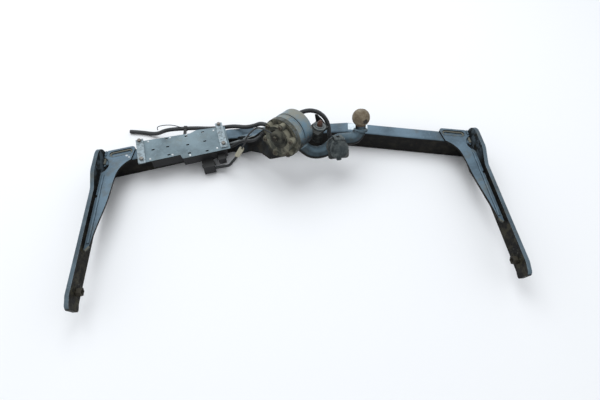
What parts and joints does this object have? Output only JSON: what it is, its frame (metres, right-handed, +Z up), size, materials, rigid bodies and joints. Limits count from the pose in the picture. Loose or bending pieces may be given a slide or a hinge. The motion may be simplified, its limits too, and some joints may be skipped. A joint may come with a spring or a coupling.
{
  "type": "towbar with swivelling ball neck",
  "caption": "Cross beam with two side plates, carrying a motor-driven hub whose bent neck swings a tow ball and a lidded socket.",
  "frame": {"origin": "middle of the cross beam's underside, on the ground; the bar lies upside down, as in the picture, so that the car's upward side is -Z", "axes": "+X to the right along the beam, +Y towards the rear of the car, +Z up from the ground"},
  "size_m": [1.08, 0.6203, 0.206],
  "materials": {
    "painted_steel": "blue-grey paint, scuffed and dusty",
    "weld_bead": "painted weld bead",
    "neck_paint": "blue-grey paint, with a bare rusty ball",
    "cover_paint": "blue-grey paint, worn at the edges",
    "galvanised": "dull zinc",
    "cast_housing": "rough casting under dried mud",
    "rusty_screw": "rusty",
    "guide_steel": "dirty paint",
    "machined_steel": "machined",
    "bronze": "oiled",
    "contact_brass": "plain",
    "seal_rubber": "matt",
    "black_plastic": "matt",
    "socket_plastic": "matt, muddy",
    "motor_can": "plain",
    "board": "satin",
    "cable_jacket": "matt, dusty",
    "tag_plastic": "faded beige"
  },
  "bodies": {
    "carrier": {"bush_front": "bronze", "bush_rear": "bronze", "cable_tag": "tag_plastic", "cap_bolt": "rusty_screw", "circuit_board": "board", "clamp_strap_inner": "galvanised", "clamp_strap_outer": "galvanised", "cover_rivets": "galvanised", "cross_beam": "painted_steel", "drive_motor": "motor_can", "flange_cover": "cast_housing", "flange_screws": "rusty_screw", "gearbox_cover": "cast_housing", "gusset_left": "painted_steel", "gusset_right": "painted_steel", "gusset_weld_left": "weld_bead", "gusset_weld_right": "weld_bead", "harness_gland": "black_plastic", "hub_bracket": "painted_steel", "hub_housing": "painted_steel", "loom_clip": "black_plastic", "loom_gland": "black_plastic", "loom_tail": "cable_jacket", "main_loom": "cable_jacket", "module_case": "black_plastic", "module_connector_large": "black_plastic", "module_connector_small": "black_plastic", "module_cover": "cover_paint", "motor_harness": "cable_jacket", "seal_ring": "seal_rubber", "side_plate_left": "painted_steel", "side_plate_right": "painted_steel", "signal_cable": "cable_jacket", "signal_wire": "cable_jacket", "strap_bolts": "galvanised", "strap_brackets": "painted_steel", "strap_spacers": "galvanised", "thrust_washer": "bronze", "weld_nuts": "galvanised"},
    "neck": {"ball_neck": "neck_paint", "swivel_shaft": "machined_steel", "drive_gear": "machined_steel", "retaining_ring": "machined_steel", "guide_lug": "guide_steel", "guide_washer": "guide_steel", "guide_bolt": "rusty_screw", "head_gland": "black_plastic", "socket_conduit": "cable_jacket", "socket_gland": "black_plastic", "socket_plate": "guide_steel", "socket_housing": "socket_plastic", "socket_contacts": "contact_brass", "hinge_pin": "machined_steel"},
    "lid": {"socket_lid": "socket_plastic"},
    "pinion": {"motor_pinion": "machined_steel"}
  },
  "joints": [
    {"name": "neck_swivel", "type": "hinge", "parent": "carrier", "child": "neck", "pos_m": [-0.004, -0.085, 0.144], "axis": [-0.6579, -0.7307, 0.1822], "range_deg": [0, 162.5]},
    {"name": "socket_lid_hinge", "type": "hinge", "parent": "neck", "child": "lid", "pos_m": [0.13036, -0.11968, 0.14336], "axis": [-0.994, -0.0894, 0.0623], "range_deg": [0, 100], "stiffness_Nm_per_rad": 0.02, "springref_deg": -34.38},
    {"name": "pinion_spin", "type": "hinge", "parent": "carrier", "child": "pinion", "pos_m": [0.00309, -0.08619, 0.16479], "axis": [-0.6579, -0.7307, 0.1822], "range_deg": [-434, 0]}
  ],
  "couplings": [
    {"joint": "pinion_spin", "follows": "neck_swivel", "ratio": -2.6667}
  ]
}
